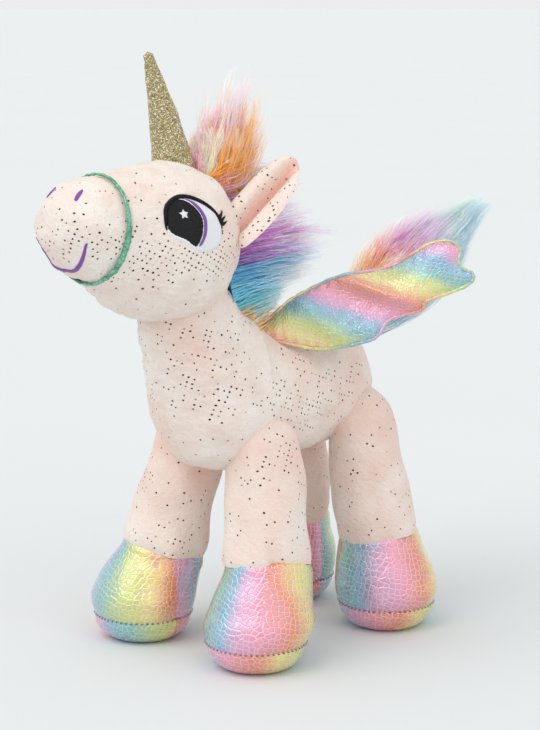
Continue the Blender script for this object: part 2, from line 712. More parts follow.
def swept_ring(name, path, widths, heights, outward, along_axis, closed=True, around=10):
    """A soft cord along a path; its section is an oval, wide along along_axis and high along outward."""
    angle = full_turn(around)
    section = (np.cos(angle)[None, :, None] * (along_axis * widths[:, None])[:, None, :]
               + np.sin(angle)[None, :, None] * (outward * heights[:, None])[:, None, :])
    points = (path[:, None, :] + section).reshape(-1, 3)
    rows = len(path)
    faces = []
    for r in range(rows if closed else rows - 1):
        for k in range(around):
            a, b = r * around, ((r + 1) % rows) * around
            n = (k + 1) % around
            faces.append((a + k, a + n, b + n, b + k))
    if not closed:
        faces.append(tuple(range(around)))
        faces.append(tuple((rows - 1) * around + k for k in reversed(range(around))))
    return make_object(name, points, faces)


def make_noseband():
    """Piping that lies in the muzzle seam, thin over the top and full under the jaw."""
    axis = head_axis()
    rows = 180
    angle = full_turn(rows)
    outward = np.cos(angle)[:, None] * upright(axis) + np.sin(angle)[:, None] * (1.0, 0, 0)
    low = (1 - np.cos(angle)) / 2
    crinkle = random.normal(size=rows) * 0.25
    widths = 0.8 + 1.5 * low**1.3 + 0.5 * crinkle * low
    heights = 0.7 + 0.1 * low + 0.2 * crinkle * low
    reach = BAND_RADIUS - 0.5 - 0.2 * low
    reach = reach - 4.0 * np.clip((BAND_STATION - 60) / 38, 0, 1) ** 1.3 * np.clip(2 * low - 0.85, 0, 1)
    path = on_head_line(BAND_STATION - 0.3) + outward * reach[:, None] - axis * (2.2 * low**2)[:, None]
    cord = swept_ring("noseband_piping", path, widths, heights, outward, np.tile(axis, (rows, 1)), around=14)
    push(cord, lambda q: bumps(q, 3.2, 31) * 0.12)
    finish_piece(cord, GREEN, "head", ["noseband_piping"])


def make_horn():
    """Glitter cone with a rolled tip and a shallow seam down its back."""
    centres = np.array([ring[0] for ring in HORN_RINGS], float)
    radii = np.array([ring[1] for ring in HORN_RINGS])
    leans = np.radians([ring[2] for ring in HORN_RINGS])
    height = np.linspace(0, 1, len(HORN_RINGS))
    rows, around = 60, 48
    t = np.linspace(0, 1, rows)
    angle = full_turn(around)
    middle = np.stack([cubic(t, height, centres[:, k]) for k in range(3)], 1)
    wide = cubic(t, height, radii)
    lean = cubic(t, height, leans)
    back = np.stack((np.zeros(rows), np.cos(lean), -np.sin(lean)), 1)
    groove = 1 - 0.05 * np.exp(-((angle - math.pi / 2) / 0.14) ** 2)
    ring = np.cos(angle)[None, :, None] * (1.0, 0, 0) + np.sin(angle)[None, :, None] * back[:, None, :]
    points = middle[:, None, :] + ring * (wide[:, None] * groove)[:, :, None]
    tip = middle[-1] + unit(middle[-1] - middle[-2]) * 1.2
    points = np.concatenate((points.reshape(-1, 3), tip[None]))
    horn = make_object("horn_cover", points, ring_faces(rows, around, cap_end=True))
    push(horn, lambda q: bumps(q, 14, 41) * 0.25 + bumps(q, 2.2, 43) * 0.1)
    lay_cloth(horn)
    finish_piece(horn, GOLD, "head", ["horn_cover", "horn_stuffing"])


# ---------------------------------------------------------------- embroidery

def fill_outline(outline, spacing):
    """Triangles over a flat outline: its points in 2-D, the faces and each point's distance from the edge."""
    outline = np.asarray(outline, float)
    low, high = outline.min(0), outline.max(0)
    grid = []
    for row, v in enumerate(np.arange(low[1], high[1], spacing * 0.87)):
        for u in np.arange(low[0] + (row % 2) * spacing / 2, high[0], spacing):
            grid.append((u, v))
    grid = np.array(grid)
    ends = np.roll(outline, -1, 0)
    crossing = ((outline[:, 1] > grid[:, 1, None]) != (ends[:, 1] > grid[:, 1, None]))
    rise = np.where(ends[:, 1] == outline[:, 1], 1e-9, ends[:, 1] - outline[:, 1])
    hit = outline[:, 0] + (grid[:, 1, None] - outline[:, 1]) * (ends[:, 0] - outline[:, 0]) / rise
    inside = (crossing & (grid[:, 0, None] < hit)).sum(1) % 2 == 1
    grid = grid[inside]
    grid = grid[edge_distance(grid, outline) > spacing * 0.45]
    count = len(outline)
    edges = [(i, (i + 1) % count) for i in range(count)]
    everything = [Vector(p) for p in np.concatenate((outline, grid))]
    points, _, faces, *_ = delaunay_2d_cdt(everything, edges, [], 1, 1e-6)
    flat = np.array([tuple(p) for p in points])
    return flat, [tuple(f) for f in faces], edge_distance(flat, outline)


def edge_distance(points, outline):
    """Distance of each 2-D point from a closed outline."""
    a, b = outline, np.roll(outline, -1, 0)
    span = b - a
    t = ((points[:, None] - a) * span).sum(2) / np.maximum((span**2).sum(1), 1e-12)
    nearest = a + np.clip(t, 0, 1)[..., None] * span
    return np.linalg.norm(points[:, None] - nearest, axis=2).min(1)


def eye_plane():
    normal = unit(EYE_NORMAL)
    back = unit(np.cross((0, 0, 1), normal))
    return np.array(EYE_CENTRE, float), back, np.cross(normal, back), normal


def on_surface(surface, points, direction, lift):
    """Drops points onto the head along a direction, and lifts them off it again."""
    landed = []
    for p, up in zip(points, lift):
        hit, normal, _, _ = surface.ray_cast(Vector(p + direction * 20), Vector(-direction))
        if hit is None:
            hit, normal, _, _ = surface.find_nearest(Vector(p))
        if normal.dot(Vector(direction)) < 0:
            normal = -normal
        landed.append(np.array(hit) + np.array(normal) * up)
    return np.array(landed)


def embroidered(name, surface, outline, plane, thickness, material, spacing=0.8):
    """A raised satin patch that follows the head; its edge tucks into the cloth."""
    centre, across, up, normal = plane
    flat, faces, inset = fill_outline(outline, spacing)
    points = centre + flat[:, :1] * across + flat[:, 1:] * up
    lift = thickness * np.sqrt(np.clip(inset / 1.1, 0, 1)) - 0.15
    patch = make_object(name, on_surface(surface, points, normal, lift), faces)
    lay_cloth(patch, 0.9)
    return finish_piece(patch, material, "head")


def star_outline(centre, radius):
    angle = np.radians(90 + 36 * np.arange(10))
    reach = np.where(np.arange(10) % 2 == 0, radius, radius * 0.48)
    return np.array(centre) + np.stack((np.cos(angle), np.sin(angle)), 1) * reach[:, None]


def crescent(outline, shift, start, end):
    """The band between a stretch of an outline and the same stretch moved by shift."""
    stretch = outline[start:end]
    return np.concatenate((stretch + np.array(shift), stretch[::-1] - np.array(shift) * 0.25))


def make_eye(side, surface):
    """White, iris, ring, star and lid, each a little higher than the one under it."""
    plane = [part * FLIPS[side] for part in eye_plane()]
    white = smooth_path(EYE_WHITE, closed=True)
    iris = smooth_path(EYE_IRIS, closed=True)
    pieces = [
        embroidered(f"eye_{side}_white", surface, white, plane, 0.75, WHITE_THREAD),
        embroidered(f"eye_{side}_iris", surface, iris, plane, 1.2, BLACK_THREAD),
        embroidered(f"eye_{side}_ring", surface, crescent(iris, (2.2, 0.15), 19, 50), plane, 1.45,
                    PURPLE_THREAD, 0.5),
        embroidered(f"eye_{side}_star", surface, star_outline((-8.2, 4.6), 3.9), plane, 1.7,
                    WHITE_THREAD, 0.5),
        embroidered(f"eye_{side}_lid", surface, lid_outline(white), plane, 1.5,
                    BLACK_THREAD, 0.6),
    ]
    for piece in pieces:
        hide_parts(node_of(piece))


# Points and hollows of the three lashes, on the eye's plane
LASHES = [(11.6, 3.6), (15.6, 6.6), (12.9, 2.2), (17.2, 4.2), (13.6, 0.4), (17.4, 1.4), (13.9, -1.6)]


def lid_outline(white):
    """Upper lid line, full in front and thin behind, that ends in three lashes."""
    arch = white[2:47]
    t = np.linspace(0, 1, len(arch))
    thickness = 0.5 + 1.5 * np.sin(np.pi * np.clip(t * 1.15, 0, 1)) ** 0.7
    middle = white.mean(0)
    outer = arch + unit(arch - middle) * thickness[:, None]
    inner = arch - unit(arch - middle) * 0.4
    return np.concatenate((outer[:33], np.array(LASHES), outer[40:], inner[::-1]))


def stitch_line(name, surface, path, widths, height):
    """A raised line of satin stitch along a path in front of the head, dropped onto it."""
    forward = np.array((0.0, -1.0, 0.0))
    landed = on_surface(surface, path, forward, np.full(len(path), 0.1))
    tangent = unit(np.gradient(landed, axis=0))
    normals = np.array([surface.find_nearest(Vector(p))[1] for p in landed])
    normals *= np.sign(normals @ forward)[:, None]
    across = unit(np.cross(tangent, normals))
    return swept_ring(name, landed, widths, np.full(len(path), height), normals, across, closed=False)


def make_face_stitches(surface):
    """The smile, and two leaf-shaped nostrils in one piece."""
    reach = np.linspace(-1, 1, 40)
    smile = np.stack((17.5 * reach, 0 * reach - 120, 199.5 + 14 * np.abs(reach) ** 2.9), 1)
    mouth = stitch_line("mouth_stitching", surface, smile, 1.1 - 0.6 * reach**4, 0.55)
    t = np.linspace(-1, 1, 16)
    points, faces = [], []
    for side in (-1, 1):
        leaf = np.stack((side * (10 - 0.9 * t), 0 * t - 120, 234 + 2.2 * t), 1)
        cord = stitch_line("nostril", surface, leaf, 0.2 + 0.95 * np.sqrt(1 - t**2), 0.45)
        faces += [tuple(len(points) + v for v in p.vertices) for p in cord.data.polygons]
        points += get_points(cord).tolist()
        bpy.data.objects.remove(cord)
    for piece in (mouth, make_object("nostril_stitching", points, faces)):
        lay_cloth(piece, 1.2)
        finish_piece(piece, PURPLE_THREAD, "head", [node_of(piece)])


# ---------------------------------------------------------------- legs

def ring_stack(centres, axes, radii):
    """Rings about a bending line. Each ring starts on the side that faces the toy's middle."""
    inner = -np.sign(centres[0][0])
    points = []
    for centre, axis, radius in zip(centres, unit(axes), radii):
        side = unit(np.array((inner, 0.0, 0.0)) - axis * axis[0] * inner)
        other = np.cross(axis, side)
        angle = full_turn(LEG_AROUND)
        points.append(centre + radius * (np.cos(angle)[:, None] * side + np.sin(angle)[:, None] * other))
    return np.array(points)


def make_leg_cover(name, hip, seam):
    """Sleeve from a domed top to the seam above the hoof."""
    hip, seam = np.array(hip, float), np.array(seam, float)
    down = unit(seam - hip)
    span = np.linalg.norm(seam - hip)
    dome = np.linspace(0.12, 1.5, 9)
    distance = np.concatenate((-HIP_RADIUS * np.cos(dome), np.linspace(0.5, span, 30)))
    radius = np.concatenate((HIP_RADIUS * np.sin(dome),
                             HIP_RADIUS + (SEAM_RADIUS - HIP_RADIUS) * np.linspace(0, 1, 30) ** 0.8))
    radius -= seam_dip(span - distance, 0.9, 2.0)
    rings = ring_stack(hip + distance[:, None] * down, np.tile(down, (len(distance), 1)), radius)
    points = np.concatenate((rings.reshape(-1, 3), (hip - down * HIP_RADIUS)[None]))
    sleeve = make_object(f"leg_{name}_cover", points, ring_faces(len(distance), LEG_AROUND, cap_start=True))
    subdivide(sleeve)
    seed = sum(ord(letter) for letter in name)
    low = np.clip(((get_points(sleeve) - hip) @ down) / span, 0, 1)

    def folds(q):
        gathers = np.exp(-((1 - low) * span / 5) ** 2) * bumps(q * (1, 1, 0.1), 5.5, seed + 2) * 0.22
        return bumps(q * (1, 1, 0.4), 15, seed) * 0.55 * (0.4 + low) + bumps(q, 28, seed + 1) * 0.6 + gathers

    push(sleeve, folds, lambda q: q - (hip + ((q - hip) @ down)[:, None] * down))
    q = get_points(sleeve)
    outside = np.clip((q[:, 0] - hip[0]) * np.sign(hip[0]) / 18, -1, 1)
    thigh = np.clip((q[:, 2] - 62) / 30, 0, 1)
    stray = np.clip(bumps(q, 30, seed + 3), 0, 1)
    write_mask(sleeve, "dots", 0.1 + (0.4 * thigh * (0.5 + 0.5 * outside) + 0.1) * stray)
    write_mask(sleeve, "blush", np.clip(0.15 + 0.25 * (1 - low) + bumps(q, 30, seed) * 0.12, 0, 1))
    lay_cloth(sleeve, 0.5)
    finish_piece(sleeve, PEACH, nodes=[node_of(sleeve), f"leg_{name}_stuffing"])
    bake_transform(sleeve)


# Rainbows round a hoof, the phase of each at its inner seam, and its turn: 1 is anticlockwise from above
BANDS_ROUND = 1.75
HOOF_BANDS = {"front_left": (0.25, 1), "front_right": (0.82, -1), "hind_left": (0.2, 1),
              "hind_right": (0.55, -1)}


def make_hoof(name, seam, widest, lowest):
    """Foil hoof, from the leg's seam to the sole's, and the sole under it."""
    seam, widest, lowest = (np.array(p, float) for p in (seam, widest, lowest))
    leg_axis = unit(np.array(LEGS[name][1], float) - np.array(LEGS[name][0], float))
    down = np.array((0.0, 0.0, -1.0))
    bottom = np.array((lowest[0], lowest[1], FLOOR + SOLE_SEAM))
    keys = [(0.0, seam - leg_axis * 3, leg_axis, SEAM_RADIUS - 4.0),
            (0.06, seam - leg_axis * 0.3, leg_axis, SEAM_RADIUS - 0.9),
            (0.14, seam + leg_axis * 3, leg_axis, SEAM_RADIUS + 0.2),
            (0.36, seam * 0.6 + widest * 0.4, leg_axis * 0.6 + down * 0.4, SEAM_RADIUS + 2.1),
            (0.58, seam * 0.25 + widest * 0.75, leg_axis * 0.3 + down * 0.7, HOOF_RADIUS - 1.1),
            (0.82, widest * 0.8 + bottom * 0.2, down, HOOF_RADIUS + 0.2),
            (1.0, bottom, down, HOOF_RADIUS - 1.3)]
    at = np.array([k[0] for k in keys])
    rows = 34
    t = np.linspace(0, 1, rows)
    centres = np.stack([cubic(t, at, [k[1][i] for k in keys]) for i in range(3)], 1)
    axes = np.stack([np.interp(t, at, [k[2][i] for k in keys]) for i in range(3)], 1)
    radii = cubic(t, at, [k[3] for k in keys])
    radii -= seam_dip((1 - t) * 40, 0.5, 1.4)
    rings = ring_stack(centres, axes, radii)
    rings[:, 0] += (centres - rings[:, 0]) * 0.025
    hoof = make_object(f"leg_{name}_hoof", rings.reshape(-1, 3), ring_faces(rows, LEG_AROUND))
    sole = make_sole(name, bottom, lowest, radii[-1] + 0.05)
    make_sole_stitches(name, bottom, radii[-1])

    phase, turn = HOOF_BANDS[name]
    seed = sum(ord(letter) for letter in name)

    def dents(q):
        above = np.clip((q[:, 2] - FLOOR) / 6, 0, 1)
        edge = np.clip(np.abs(q[:, 2] - (FLOOR + SOLE_SEAM)) / 5, 0, 1)
        return bumps(q, 17, seed) * 0.3 * above * edge

    for piece, offset in ((hoof, 0.0), (sole, 0.18)):
        subdivide(piece)
        push(piece, dents, lambda q: q - np.array((widest[0], widest[1], 20.0)))
        write_band(piece, widest, phase + offset, turn)
        lay_cloth(piece, 0.2)
        finish_piece(piece, FOIL, f"leg_{name}", [node_of(piece)])


def make_sole(name, seam_centre, lowest, radius):
    """Dish that curves in from the seam, and its flat foot."""
    turned_in = np.linspace(0, math.pi / 2, 16)
    centres = seam_centre + (lowest - seam_centre) * np.sin(turned_in)[:, None]
    radii = SOLE_RADIUS + (radius - SOLE_RADIUS) * np.cos(turned_in)
    centres = np.concatenate((centres, [lowest] * 3))
    radii = np.concatenate((radii, (9.0, 6.0, 3.0)))
    rings = ring_stack(centres, np.tile((0.0, 0.0, -1.0), (len(radii), 1)), radii)
    points = np.concatenate((rings.reshape(-1, 3), lowest[None]))
    return make_object(f"leg_{name}_sole", points, ring_faces(len(rings), LEG_AROUND, cap_end=True))


def make_sole_stitches(name, centre, radius, count=58):
    """Short thread stitches round the sole's seam."""
    turns = full_turn(count)[:, None] + np.linspace(-1, 1, 5) * 0.65 / radius
    out = np.stack((np.cos(turns), np.sin(turns), 0 * turns), 2)
    along = np.linspace(-1, 1, 5)[None, :, None]
    middle = centre + out * (radius + 0.35 - 0.15 * along**2) + np.array((0, 0, -0.4))
    thick = 0.27 * np.sqrt(1.08 - along**2)
    around = full_turn(6)
    rings = (middle[:, :, None] + thick[..., None] * (np.cos(around)[:, None] * out[:, :, None]
                                                      + np.sin(around)[:, None] * np.array((0, 0, 1.0))))
    one = np.array(ring_faces(5, 6))
    faces = (one[None] + (np.arange(count) * 30)[:, None, None]).reshape(-1, 4).tolist()
    for start in range(0, count * 30, 30):
        faces += [tuple(range(start + 5, start - 1, -1)), tuple(range(start + 24, start + 30))]
    stitches = make_object(f"leg_{name}_stitches", rings.reshape(-1, 3), faces)
    lay_cloth(stitches)
    finish_piece(stitches, SEAM_THREAD, f"leg_{name}")


def write_band(obj, centre, phase, turn):
    """Rainbow phase round a hoof. It starts at the inner side, where the seam lets the bands break."""
    mesh = obj.data
    corner, count = corners(mesh)
    inner = -np.sign(centre[0])

    def angle_of(points):
        return np.arctan2((points[:, 1] - centre[1]), (points[:, 0] - centre[0]) * inner) * inner

    face_angle = np.repeat(angle_of(get_middles(obj)), count)
    angle = angle_of(get_points(obj)[corner])
    angle = face_angle + (angle - face_angle + math.pi) % (2 * math.pi) - math.pi
    face_turns = np.where(face_angle < 0, 2 * math.pi, 0)
    band = phase + turn * (angle + face_turns) / (2 * math.pi) * BANDS_ROUND
    attribute = mesh.attributes.new("band", "FLOAT", "CORNER")
    attribute.data.foreach_set("value", band.astype(np.float32))


# ---------------------------------------------------------------- wings and ears

def make_wing(side):
    """Two puffed foil faces and a bound edge."""
    flip = FLIPS[side]
    along, across = unit(WING_ALONG), unit(WING_ACROSS)
    normal = np.cross(along, across)
    flat, faces, inset = fill_outline(smooth_path(WING_OUTLINE, 7, closed=True), 2.0)

    def lifted(uv, inset_here, face_sign):
        """Places points of the flat outline: curled, waved, folded and puffed towards one face."""
        u, v = uv[:, 0], uv[:, 1]
        puff = 3.2 * np.sqrt(np.clip(inset_here / 9, 0, 1))
        wave = 2.6 * np.sin(u / 11 + v / 7) + 1.5 * np.sin(u / 6.5 - v / 5 + 1)
        curl = -0.0011 * (u - 30) ** 2
        pucker = 0.55 * np.sin((u * 1.0 + v * 0.3) * 1.15) * np.exp(-inset_here / 4.5)
        fold = 3.6 * np.exp(-((u - 46 - 1.1 * (v + 8)) / 4.5) ** 2)
        fold += 2.2 * np.exp(-((u - 16 - 0.5 * v) / 5) ** 2)
        height = curl + wave * 0.6 - fold * np.clip(inset_here / 5, 0, 1) + face_sign * (puff + pucker)
        points = u[:, None] * along + v[:, None] * across + height[:, None] * normal
        return (np.array(WING_ROOT) + points) * flip

    for name, sign in (("outer_face", -1), ("inner_face", 1)):
        turned_faces = [face[::-1] if sign * flip[0] < 0 else face for face in faces]
        face = make_object(f"wing_{side}_{name}", lifted(flat, inset, sign), turned_faces)
        subdivide(face)
        q = get_points(face) * flip - np.array(WING_ROOT)
        write_mask(face, "band", 0.2 + (q @ along) / 64 - (q @ across) / 52)
        lay_cloth(face, 0.2)
        nodes = [node_of(face)] + [f"wing_{side}_padding"] * (sign < 0)
        finish_piece(face, FINE_FOIL, f"wing_{side}", nodes)

    rim = smooth_path(WING_OUTLINE, 16, closed=True)
    path = lifted(rim, np.zeros(len(rim)), 0)
    tangent = unit(np.roll(path, -1, 0) - np.roll(path, 1, 0))
    up = np.tile(normal * flip, (len(path), 1))
    outward = unit(np.cross(tangent, up))
    plump = 0.9 + 0.12 * np.sin(np.arange(len(path)) * 0.9) + 0.05 * random.normal(size=len(path))
    binding = swept_ring(f"wing_{side}_binding", path, plump, plump * 1.1, up, outward)
    write_mask(binding, "band", 0.2 + (get_points(binding) * flip - np.array(WING_ROOT)) @ along / 70)
    lay_cloth(binding, 0.2)
    finish_piece(binding, FINE_FOIL, f"wing_{side}", [f"wing_{side}_binding"])


def make_ear(side):
    """A leaf of two panels, rolled into a channel."""
    flip = FLIPS[side]
    along, across = unit(EAR_ALONG), unit(EAR_ACROSS)
    normal = -np.cross(along, across)
    flat, faces, inset = fill_outline(smooth_path(EAR_OUTLINE, 7, closed=True), 1.5)
    u, v = flat[:, 0], flat[:, 1]
    middle = EAR_FOLD + 0.02 * u
    fade = np.clip((50 - u) / 16, 0, 1) * np.clip((u + 10) / 12, 0, 1)
    channel = -9.0 * np.exp(-((v - middle) / 3.0) ** 2) * fade
    roll = 0.016 * (v - middle) ** 2 - 0.001 * (u - 20) ** 2
    for name, sign in (("inner", 1), ("outer", -1)):
        puff = sign * 2.3 * np.sqrt(np.clip(inset / 3.5, 0, 1))
        height = channel * (1.0 if sign > 0 else 0.8) + roll + puff
        points = np.array(EAR_ROOT) + u[:, None] * along + v[:, None] * across + height[:, None] * normal
        turned_faces = [face if sign * flip[0] < 0 else face[::-1] for face in faces]
        panel = make_object(f"ear_{side}_{name}", points * flip, turned_faces)
        subdivide(panel)
        q = get_points(panel) * flip - np.array(EAR_ROOT)
        valley = np.exp(-((q @ across - EAR_FOLD - 0.5) / 3.2) ** 2) if sign > 0 else np.zeros(len(q))
        write_mask(panel, "dots", 0.36)
        write_mask(panel, "blush", 0.15 + 0.75 * valley)
        lay_cloth(panel, 0.5)
        finish_piece(panel, PEACH, f"ear_{side}", [node_of(panel)])


# ---------------------------------------------------------------- fur

def strands(name, roots, tips, bow, outward, hues, ends, width=0.3, wave=1.3, steps=8):
    """Long pile: tapering ribbons from roots to tips, drawn together into wavy locks.

    hues and ends hold a colour number for the inner and the outer part of each strand."""
    count = len(roots)
    leaders = random.choice(count, count // 36, replace=False)
    both = np.concatenate((roots, tips), 1)
    lock = leaders[((both[:, None] - both[None, leaders]) ** 2).sum(2).argmin(1)]
    tips = tips + (tips[lock] - tips) * random.uniform(0.15, 0.7, (count, 1))
    hues = np.where(random.random(count) < 0.8, hues[lock], hues)
    ends = np.where(random.random(count) < 0.6, ends[lock], ends)
    turn = random.integers(steps // 2 - 1, steps, count)
    shared = random.normal(size=(count, 3))[lock] * wave * 1.5
    t = np.linspace(0, 1, steps + 1)[None, :, None]
    knee = roots * 0.45 + tips * 0.55 + bow
    line = roots[:, None] * (1 - t) ** 2 + knee[:, None] * 2 * t * (1 - t) + tips[:, None] * t**2
    own = random.normal(size=(count, 3)) * wave * 0.5
    bend = random.uniform(1.2, 2.2, count)[lock][:, None, None]
    line = line + (shared + own)[:, None] * np.sin(t * math.pi * bend) * t
    tangent = unit(np.gradient(line, axis=1))
    facing = unit(unit(outward) + 0.4 * random.normal(size=(count, 3)))[:, None]
    flat_way = unit(np.cross(tangent, facing))
    taper = (width * random.uniform(0.7, 1.3, (count, 1, 1))) * (1 - 0.85 * t**1.5)
    points = np.stack((line - flat_way * taper / 2, line + flat_way * taper / 2), 2).reshape(-1, 3)
    first = (np.arange(count)[:, None] * (steps + 1) + np.arange(steps)[None]).ravel() * 2
    faces = np.stack((first, first + 1, first + 3, first + 2), 1)
    obj = make_object(name, points, faces.tolist())
    tone = np.arange(steps) * TONES // steps
    tint = np.where(np.arange(steps)[None] < turn[:, None], hues[:, None], ends[:, None])
    index = (tint * TONES + tone[None]).ravel()
    used, index = np.unique(index, return_inverse=True)
    for number in used:
        obj.data.materials.append(FUR[number])
    obj.data.polygons.foreach_set("material_index", index.astype(np.int32))
    return obj


def under_fur(name, rings, position, hues, body, lie=(0.3, 2.2, 1.0)):
    """Downy body under the strands. position gives the place of each of its points along the hues."""
    rows, around = rings.shape[:2]
    ends = np.stack((rings[0].mean(0), rings[-1].mean(0)))
    points = np.concatenate((rings.reshape(-1, 3), ends))
    down = make_object(name, points, ring_faces(rows, around, True, True))
    subdivide(down, 2)
    write_mask(down, "band", position(get_points(down)))
    push(down, lambda q: bumps(q, 7, 61) * 0.9, lambda q: q - q.mean(0))
    lay_cloth(down)
    stops = [(k / (len(hues) - 1), FUR_HUES[hue][1]) for k, hue in enumerate(hues)]
    finish_piece(down, fur_down(f"{name}_down", stops, lie), body)
    return down


def by_ring(rings, steps):
    """Position of a point along a fan: that of the ring nearest to it."""
    centres = rings.mean(1)
    return lambda q: np.asarray(steps)[((q[:, None] - centres[None]) ** 2).sum(2).argmin(1)]


def blend_hues(position, order, jitter):
    """Colour number of each strand, from its position of 0 to 1 along the named order of hues."""
    order = np.array([HUE_NAMES.index(name) for name in order])
    place_in = position * (len(order) - 1) + random.normal(size=len(position)) * jitter
    return order[np.clip(np.round(place_in), 0, len(order) - 1).astype(int)]


def fan_rings(roots, tips, reach, half, widths):
    """Flat-oval rings across a fan of fibres, first fibre to last, each reaching part of the way."""
    angle = full_turn(20)
    middle = roots + (tips - roots) * (reach / 2)
    long_way = (tips - roots) * half
    return (middle[:, None] + np.cos(angle)[None, :, None] * long_way[:, None]
            + np.sin(angle)[None, :, None] * (np.asarray(widths)[:, None, None] * np.array((1.0, 0, 0))))


# Hues of the forelock from front to back, and those of its tips
FORELOCK_HUES = ["rose", "cream", "cream", "orange", "orange", "orange", "orange", "orange", "orange"]
FORELOCK_ENDS = ["cream", "pink", "rose", "mist", "pink", "lilac", "orange", "orange", "pink"]


def forelock_line(front):
    """Root and tip, on the middle plane, of the forelock's fibres from front (0) to back (1)."""
    nil = np.zeros(len(front))
    roots = np.stack((nil, -55 + 21 * front, 237 - 16 * front**1.6), 1)
    tips_y = cubic(front, (0, 0.35, 0.7, 1), (-50, -31, -12, -2))
    tips_z = cubic(front, (0, 0.35, 0.7, 1), (254, 280, 284, 258))
    return roots, np.stack((nil, tips_y, tips_z), 1)


def make_forelock(count=8000):
    """Tuft that stands up between the horn and the ears."""
    front = random.uniform(0, 1, count)
    side = np.clip(random.normal(size=count) * 0.45, -1, 1)
    roots, full = forelock_line(front)
    roots += np.stack((side * 10, 0 * side, -3 * side**2), 1)
    full[:, 0] += side * 7
    reach = np.clip(random.beta(1.7, 2.6, count) * 1.15, 0.2, 1.05)
    tips = roots + (full - roots) * reach[:, None] + random.normal(size=(count, 3)) * (1.8, 1.8, 1.8)
    bow = np.stack((side * 4, -2.0 + 2 * front, np.full(count, 3.0)), 1)
    inner = blend_hues(front, FORELOCK_HUES, 0.5)
    outer = np.where(reach > 0.62, blend_hues(front, FORELOCK_ENDS, 0.9), inner)
    outward = np.stack((side + 0.5, np.full(count, -0.8), np.full(count, 0.4)), 1)
    obj = strands("forelock_fur", roots, tips, bow, outward, inner, outer)
    finish_piece(obj, None, "head", ["forelock_fur"])
    steps = np.linspace(0.04, 0.96, 12)
    base, end = forelock_line(steps)
    rings = fan_rings(base, end, 0.5, 0.32, 9.5 * np.sqrt(np.sin(steps * math.pi)))
    under_fur("forelock_under", rings, by_ring(rings, steps), FORELOCK_HUES, "head", (2.2, 0.3, 1.0))


# Roots and tips of the mane's fibres on the middle plane, and its hues, from the foot of the neck to the poll
MANE_ROOTS = [(-23, 160), (-32, 172), (-37, 186), (-38, 200), (-40, 215), (-45, 229), (-52, 239)]
MANE_TIPS = [(-5, 168), (8, 180), (30, 190), (40, 204), (22, 219), (8, 238), (-12, 256)]
# Half width of the mane at its roots, wide low on the neck
MANE_SPREAD = ((0.0, 0.3, 0.55), (16, 16, 10))
MANE_HUES = ["orange", "cream", "cream", "teal", "cyan", "cyan", "blue", "violet", "orchid", "orchid",
             "orchid", "lilac", "orchid", "cyan", "pink", "orange", "orange"]


def mane_line(at):
    """Root and tip, on the middle plane, of the mane's fibres: at is 0 low on the neck, 1 on the poll."""
    knots = np.linspace(0, 1, len(MANE_ROOTS))
    nil = np.zeros(len(at))
    root, tip = (np.stack([nil] + [cubic(at, knots, [p[k] for p in line]) for k in (0, 1)], 1)
                 for line in (MANE_ROOTS, MANE_TIPS))
    return root, tip


def mane_fibres(low, high, count):
    """Roots, tips, bows, facings and colours of the mane between two heights."""
    at = low + (high - low) * random.uniform(0, 1, count) ** 1.15
    side = np.clip(random.normal(size=count) * 0.5, -1.2, 1.2)
    roots, full = mane_line(at)
    wide = np.interp(at, *MANE_SPREAD)
    round_neck = 28 - np.sqrt(28**2 - (side * wide) ** 2)
    roots += np.stack((side * wide, -1.1 * round_neck, 0 * side), 1)
    full[:, 0] += side * np.minimum(wide - 2, 10)
    reach = np.clip(random.beta(2.2, 2.4, count) * 1.15, 0.22, 1.04)
    tips = roots + (full - roots) * reach[:, None] + random.normal(size=(count, 3)) * (2.0, 1.8, 2.0)
    bow = np.stack((side * 4, np.full(count, 1.0), np.full(count, 2.5)), 1)
    outward = np.stack((np.sign(side) * 1.0, np.full(count, -0.3), np.full(count, 0.5)), 1)
    hues = blend_hues(at, MANE_HUES, 0.7)
    pale = (reach > 0.5) & (random.random(count) < 0.5)
    return roots, tips, bow, outward, hues, np.where(pale, HUE_NAMES.index("mist"), hues)


def mane_down(name, low, high, body):
    """Under-fur of one part of the mane."""
    at = np.linspace(low, high, 14)
    base, end = mane_line(at)
    taper = np.sqrt(np.sin(np.linspace(0.12, math.pi - 0.12, 14)))
    rings = fan_rings(base, end, 0.56, 0.34, 9.5 * taper)
    return under_fur(name, rings, by_ring(rings, at), MANE_HUES, body)


def make_mane():
    """The upper part rides on the head; the lower part bends with the neck."""
    upper = strands("mane_fur_head", *mane_fibres(0.28, 1.0, 9500))
    finish_piece(upper, None, "head", ["mane_fur_head"])
    mane_down("mane_under_head", 0.32, 0.97, "head")
    lower = strands("mane_fur_neck", *mane_fibres(0.0, 0.34, 6000))
    finish_piece(lower, None, nodes=["mane_fur_neck"])
    under = mane_down("mane_under_neck", 0.05, 0.28, None)
    for piece in (lower, under):
        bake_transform(piece)


BACKING_WIDTH = 12
BACKING_THICK = 0.8


